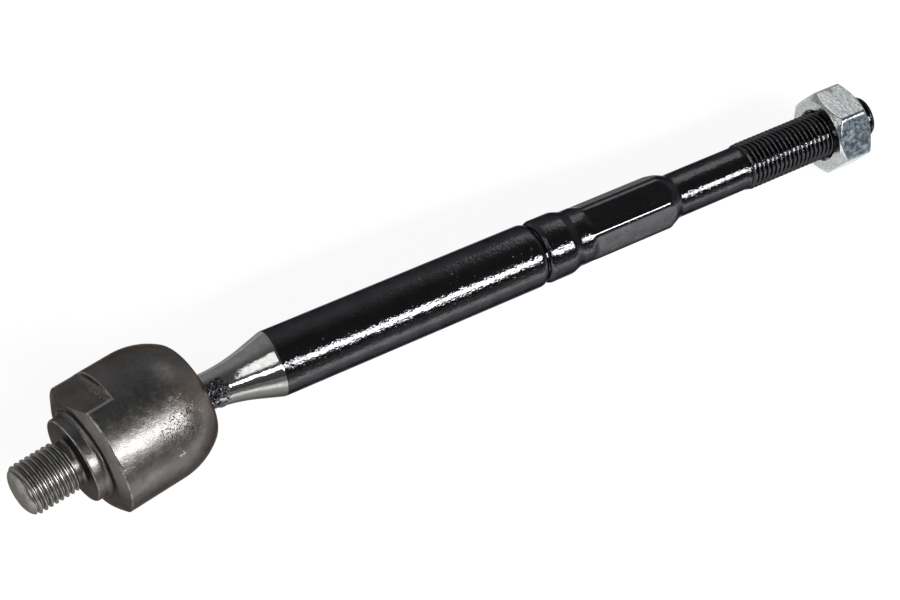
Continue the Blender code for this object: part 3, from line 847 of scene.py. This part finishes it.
noise.seed_set(GREASE_SEED)
grease_mesh = bmesh.new()
bmesh.ops.create_grid(grease_mesh, x_segments=GREASE_GRID, y_segments=GREASE_GRID, size=0.5)
for vert in grease_mesh.verts:
    along, around = vert.co.x + 0.5, vert.co.y + 0.5
    x = GREASE_FROM + (GREASE_TO - GREASE_FROM) * along
    angle = math.radians(GREASE_ANGLES[0] + (GREASE_ANGLES[1] - GREASE_ANGLES[0]) * around)
    under = NECK if x < NECK_END else NECK + FLARE - math.sqrt(FLARE**2 - (x - NECK_END) ** 2)
    place = Vector((x, -under * math.sin(angle), under * math.cos(angle)))
    fade = 1.0 - (2.0 * along - 0.92) ** 2 - (2.2 * around - 1.15) ** 2
    height = 0.9 * grease_thickness(place) + 0.6 * min(fade - 0.25, 0.12)
    room = LIP_ROOM + (OPEN_ROOM - LIP_ROOM) * ramp(x, LIP_PASSES, LIP_CLEARS_IN)
    height = max(min(height, room), GREASE_SUNK)
    vert.co = place + (height / under) * Vector((0.0, place.y, place.z))
sunk = bmesh.ops.extrude_face_region(grease_mesh, geom=grease_mesh.faces[:])["geom"]
for vert in sunk:
    if isinstance(vert, bmesh.types.BMVert):
        vert.co.y *= GREASE_INSIDE
        vert.co.z *= GREASE_INSIDE
bmesh.ops.recalc_face_normals(grease_mesh, faces=grease_mesh.faces)
finish_piece(grease_mesh, "neck_grease", rod_place, wet_grease, "rod")

# %% [markdown]
# ## The painted bar
# From the paint line the bar is a plain shank, a ring groove, a collar, a waist, a hexagon for the
# wrench and a slim shank at the size from which the thread is rolled. All of it is turned in one
# go; the hexagon is then pressed into the round bar by moving each point to the flat or the corner
# round that lies at its angle, as the forging die does.

# %% Profile of the painted bar
PAINT_EDGE = ((0.0, 0.07), (0.04, 0.02), (0.12, 0.0))
GROOVE, GROOVE_DEPTH = 111.71, 1.15
GROOVE_INNER, GROOVE_FLOOR, GROOVE_OUTER = 3.3, 0.25, 1.75
GROOVE_WALL, GROOVE_BED = 50.0, 0.1
BAR_COLLAR, COLLAR_SLOPE, COLLAR_POINTS = 5.65, 4.1, 12
WAIST, WAIST_END = 8.05, 127.85
HEX_ACROSS, HEX_CORNER = 15.0, 2.2
HEX_START, HEX_STOP = 130.45, 154.25
SLIM, SLIM_START, SLIM_END = 6.37, 158.55, 181.05
ALONG = (0.1, 0.3, 0.5, 0.7, 0.9)
STATION = 0.2

painted_profile = [(PAINT_LINE, 0.0)]
painted_profile += [(PAINT_LINE + x, SHANK - drop) for x, drop in PAINT_EDGE]
painted_profile += [(PAINT_LINE + (GROOVE - PAINT_LINE) * share, SHANK) for share in ALONG]
painted_profile += arc(GROOVE, SHANK - GROOVE_INNER, GROOVE_INNER, 90.0, GROOVE_WALL, 4.0)
groove_x, groove_r = painted_profile[-1]
groove_bed = SHANK - GROOVE_DEPTH
floor_x = groove_x + (groove_r - groove_bed) / math.tan(math.radians(90.0 - GROOVE_WALL))
outer_sweep = math.degrees(math.acos(1.0 - GROOVE_DEPTH / GROOVE_OUTER))
outer_x = floor_x + GROOVE_BED + GROOVE_OUTER * math.sin(math.radians(outer_sweep))
bed_x, bed_r = floor_x - GROOVE_BED, groove_bed + GROOVE_FLOOR
painted_profile += arc(bed_x, bed_r, GROOVE_FLOOR, -120.0, -90.0, 15.0)
outer_r = SHANK - GROOVE_OUTER
painted_profile += arc(outer_x, outer_r, GROOVE_OUTER, 90.0 + outer_sweep, 90.0, 6.0)
collar_end = outer_x + BAR_COLLAR
for index in range(COLLAR_POINTS + 1):
    share = index / COLLAR_POINTS
    radius = SHANK - (SHANK - WAIST) * ease(share)
    painted_profile.append((collar_end + COLLAR_SLOPE * share, radius))
stations = [WAIST_END + STATION * index for index in range(14)]
stations += [HEX_START + (HEX_STOP - HEX_START) * share for share in ALONG]
stations += [HEX_STOP + STATION * index for index in range(-2, 22)]
painted_profile += [(x, WAIST) for x in stations]
stations = (SLIM_START + 2.0 * STATION, SLIM_START + 8.0, SLIM_END)
painted_profile += [(x, SLIM) for x in stations] + [(SLIM_END, 0.0)]
print("groove to", round(outer_x, 2), "collar to", round(collar_end, 2))

# %% Press the hexagon
HEX_LEAN = math.radians(46.9)
HEX_SOFTNESS = 0.3
PRESS_END = SLIM_START + 0.3


def hexagon_radius(angle, across, corner_round):
    """Distance from the axis to a hexagon with round corners, one of them at angle 0."""
    sector = math.radians(60.0)
    from_corner = abs((angle + sector / 2.0) % sector - sector / 2.0)
    round_centre = (across / 2.0 - corner_round) / math.cos(sector / 2.0)
    round_end = round_centre + corner_round * math.cos(sector / 2.0)
    if from_corner > math.atan2(corner_round * 0.5, round_end):
        return (across / 2.0) / math.cos(sector / 2.0 - from_corner)
    offset = round_centre * math.sin(from_corner)
    return round_centre * math.cos(from_corner) + math.sqrt(corner_round**2 - offset**2)


def soft_minimum(first, second, width):
    """The lesser of two, rounded off where they are within a width of each other."""
    gap = max(width - abs(first - second), 0.0) / width
    return min(first, second) - gap * gap * width / 4.0


hex_tip = hexagon_radius(0.0, HEX_ACROSS, HEX_CORNER)
painted_mesh = turn_on_lathe(painted_profile)
for vert in painted_mesh.verts:
    x = vert.co.x
    if not WAIST_END < x < PRESS_END:
        continue
    angle = math.atan2(-vert.co.y, vert.co.z) - HEX_LEAN
    size = hexagon_radius(angle, HEX_ACROSS, HEX_CORNER)
    wanted = WAIST + (size - WAIST) * ease(ramp(x, WAIST_END, HEX_START - WAIST_END))
    cone = hex_tip - (x - HEX_STOP) * (hex_tip - SLIM) / (SLIM_START - HEX_STOP)
    set_radius(vert, max(soft_minimum(wanted, cone, HEX_SOFTNESS), SLIM))
bmesh.ops.recalc_face_normals(painted_mesh, faces=painted_mesh.faces)
painted = finish_piece(painted_mesh, "painted_bar", rod_place, black_paint, "rod")
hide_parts("tie_rod")

# %% [markdown]
# ## The outer thread
# Rolled thread grows out of the slim shank: metal is pushed up from the roots into the crests, so
# the first turns are faint and the shank lies midway between root and crest.

# %% Outer thread
ROD_END = 226.3
END_CHAMFER, END_CHAMFER_LENGTH = 1.0, 1.9
GROWTH_START, GROWTH_LENGTH = SLIM_END + 0.2, 2.6


def outer_limit(x):
    return CREST - END_CHAMFER * max(1.0 - (ROD_END - x) / END_CHAMFER_LENGTH, 0.0)


def outer_growth(x):
    return SLIM, ease(ramp(x, GROWTH_START, GROWTH_LENGTH))


outer_mesh = wind_thread(SLIM_END, ROD_END, outer_limit, outer_growth)
finish_piece(outer_mesh, "outer_thread", rod_place, black_paint, "rod")

# %% [markdown]
# ## The jam nut
# A nut is turned round with its chamfers first, and its six flats come after. So does this one:
# the turned ring is pressed to the hexagon as the bar was, and each point takes the lesser of the
# two radii, so the curved edges where the flats meet the chamfers come out by themselves. The soft
# way of taking the lesser rounds them, as the plating does.

# %% Jam nut
NUT_ACROSS, NUT_CORNER, NUT_HALF = 22.0, 1.3, 5.5
NUT_MIDDLE = ROD_END - 5.2 - NUT_HALF
NUT_BORE, NUT_RIM, NUT_COUNTERSINK = 7.0, 7.85, 0.75
NUT_FACE, NUT_LAND, NUT_BLANK, NUT_BODY = 10.45, 0.1, 13.0, 1.2
OUTER_CHAMFER, FRONT_CHAMFER = math.radians(30.0), math.radians(39.0)
CHAMFER_STATION, CHAMFER_STATIONS = 0.08, 26
NUT_TURN = math.radians(30.0)
NUT_SOFTNESS = 0.35
NUT_STEPS = 240

ring = []
for end, slope in ((1, OUTER_CHAMFER), (-1, FRONT_CHAMFER)):
    half = [(NUT_HALF - NUT_COUNTERSINK, NUT_BORE), (NUT_HALF, NUT_RIM)]
    half += [(NUT_HALF, NUT_FACE - NUT_LAND), (NUT_HALF, NUT_FACE)]
    for step in range(1, CHAMFER_STATIONS + 1):
        depth = CHAMFER_STATION * step
        half.append((NUT_HALF - depth, min(NUT_FACE + depth / math.tan(slope), NUT_BLANK)))
    half.append((NUT_BODY, NUT_BLANK))
    ring += [(NUT_MIDDLE + end * x, radius) for x, radius in half][::end]
nut_mesh = turn_on_lathe(ring, NUT_STEPS, closed=True)
for vert in nut_mesh.verts:
    radius = math.hypot(vert.co.y, vert.co.z)
    if radius > NUT_FACE + NUT_LAND / 10.0:
        angle = math.atan2(-vert.co.y, vert.co.z) - NUT_TURN
        hexagon = hexagon_radius(angle, NUT_ACROSS, NUT_CORNER)
        set_radius(vert, soft_minimum(hexagon, radius, NUT_SOFTNESS))
bmesh.ops.recalc_face_normals(nut_mesh, faces=nut_mesh.faces)
nut = finish_piece(nut_mesh, "plated_nut", rod_place, zinc_plate, "nut")
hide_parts("jam_nut")

# %% [markdown]
# ## The floor
# The part lies on a plain white floor, which is white to the camera and keeps a faint shadow.
# Gloss shows the floor too, and the photograph's reflections tell what lay in front of the part: a
# pale sheet that ends some 7 cm away, with a lighter band nearer by. These are painted
# reflections:
# the floor glows in two ways, one for mirror rays and one for all the others that see it; far out,
# where no lamp reaches, it glows a little more, so that it stays white up to the horizon.

# %% Floor
FLOOR_HALF = 4.0
PAPER_GREY, SHADOW_GREY = 0.8, 0.16
GLOW_NEAR, GLOW_FAR, GLOW_RANGE = 0.88, 1.0, (0.3, 0.8)
SHEET_EDGE, SHEET_BEYOND, SHEET_GLOW = (-0.072, -0.06), 0.12, 0.85
BAND_RISE, BAND_FALL, BAND_GLOW = (-0.055, -0.042), (-0.036, -0.024), 1.5


def matt(tree, grey):
    surface = tree.nodes.new("ShaderNodeBsdfDiffuse")
    surface.inputs["Color"].default_value = (grey, grey, grey, 1.0)
    return surface.outputs[0]


floor_mesh = bmesh.new()
bmesh.ops.create_grid(floor_mesh, x_segments=1, y_segments=1, size=FLOOR_HALF)
floor = add_mesh(floor_mesh, "studio_floor")
floor_white = bpy.data.materials.new("floor_white")
floor_white.use_nodes = True
tree = floor_white.node_tree
tree.nodes.clear()
ray = tree.nodes.new("ShaderNodeLightPath")
mirror_ray = ray.outputs["Is Glossy Ray"]
seen = maths(tree, "MAXIMUM", ray.outputs["Is Camera Ray"], mirror_ray)
seen = maths(tree, "MAXIMUM", seen, ray.outputs["Is Transmission Ray"])
place = tree.nodes.new("ShaderNodeTexCoord").outputs["Object"]
across = coordinate(tree, place, "Y")
# painted reflection: a pale sheet, darker beyond its edge, and a lighter band, seen only by mirror
# rays
reflected_sheet = levels(tree, across, *SHEET_EDGE, SHEET_BEYOND, SHEET_GLOW)
reflected_band = times(tree, band(tree, across, BAND_RISE, BAND_FALL), BAND_GLOW)
mirrored = times(tree, maths(tree, "ADD", reflected_sheet, reflected_band), mirror_ray)
direct = levels(tree, measured(tree, "LENGTH", place), *GLOW_RANGE, GLOW_NEAR, GLOW_FAR)
direct = times(tree, direct, levels(tree, mirror_ray, 0.0, 1.0, 1.0, 0.0))
glow = tree.nodes.new("ShaderNodeEmission")
tree.links.new(maths(tree, "ADD", mirrored, direct), glow.inputs["Strength"])
both = tree.nodes.new("ShaderNodeAddShader")
tree.links.new(matt(tree, SHADOW_GREY), both.inputs[0])
tree.links.new(glow.outputs[0], both.inputs[1])
choose = tree.nodes.new("ShaderNodeMixShader")
tree.links.new(seen, choose.inputs[0])
tree.links.new(matt(tree, PAPER_GREY), choose.inputs[1])
tree.links.new(both.outputs[0], choose.inputs[2])
out = tree.nodes.new("ShaderNodeOutputMaterial")
tree.links.new(choose.outputs[0], out.inputs["Surface"])
floor.data.materials.append(floor_white)
print("floor:", floor_white.name)

# %% [markdown]
# ## Lamps and room
# Gloss shows what stands around it, so the lamps are chosen for their reflections. Two soft strips
# beside the bar draw the bright line along it. One panel shines in the cone of the neck, one on
# the rim of the barrel, a low one on the stud, and one on the flats of the nut. The room is pale,
# but darker on the strips' side, so that the paint beside the bright line stays black.


# %% Lamps
def panel(name, place, aim, along, length, width, brightness):
    """A soft rectangular lamp, turned to its aim, with its length along a line."""
    lamp = bpy.data.lights.new(name, "AREA")
    lamp.shape = "RECTANGLE"
    lamp.size = length
    lamp.size_y = width
    lamp.energy = brightness * math.pi * length * width
    thing = add_object(name, lamp)
    back = (Vector(place) - Vector(aim)).normalized()
    across = back.cross(Vector(along)).normalized()
    thing.matrix_world = place_and_turn(place, across.cross(back), across, back)


STRIP_DISTANCE, BAR_HEIGHT = 0.8, 0.018
STRIPS = (
    ("strip_lamp", 61.0, 0.08, 0.65, 0.17, 34.0),
    ("strip_lamp_end", 56.5, -0.36, 0.07, 0.07, 30.0),
)
PANELS = (
    ("wedge_lamp", (-0.29, -0.24, 0.7), (-0.29, -0.24, 0.0), 0.5, 0.18, 2.6),
    ("rim_lamp", (-0.68, -0.1, 0.7), (-0.68, -0.1, 0.0), 0.4, 0.2, 3.0),
    ("stud_lamp", (-0.9, 0.05, 0.24), (-0.1, 0.0, 0.02), 0.45, 0.38, 2.0),
    ("nut_panel", (0.34, 0.28, 0.41), (0.12, 0.0, 0.02), 0.3, 0.18, 1.3),
)
for name, degrees, start, end, width, brightness in STRIPS:
    lean = math.radians(degrees)
    middle = (start + end) / 2.0
    side, rise = STRIP_DISTANCE * math.sin(lean), STRIP_DISTANCE * math.cos(lean)
    place = (middle, -side, rise + BAR_HEIGHT)
    aim = (middle, 0.0, BAR_HEIGHT)
    panel(name, place, aim, (1.0, 0.0, 0.0), end - start, width, brightness)
for name, place, aim, length, width, brightness in PANELS:
    panel(name, place, aim, (0.0, 1.0, 0.0), length, width, brightness)

# %% Room
ROOM_WHITE = (0.97, 0.98, 1.0, 1.0)
DARK_SIDE = (0.0, -0.75, 0.66)
ROOM_PALE, ROOM_DARK, ROOM_RANGE = 0.45, 0.12, (-0.15, 0.72)

room = bpy.data.worlds.new("studio_room")
room.use_nodes = True
bpy.context.scene.world = room
tree = room.node_tree
sky = tree.nodes["Background"]
direction = tree.nodes.new("ShaderNodeTexCoord").outputs["Generated"]
towards_dark = measured(tree, "DOT_PRODUCT", direction, DARK_SIDE)
shade = levels(tree, towards_dark, *ROOM_RANGE, ROOM_PALE, ROOM_DARK, smooth=True)
behind = tree.nodes.new("ShaderNodeLightPath").outputs["Is Camera Ray"]
tree.links.new(maths(tree, "MAXIMUM", shade, behind), sky.inputs["Strength"])
sky.inputs["Color"].default_value = ROOM_WHITE
bpy.context.scene.view_settings.view_transform = "Standard"
print("room:", room.name)
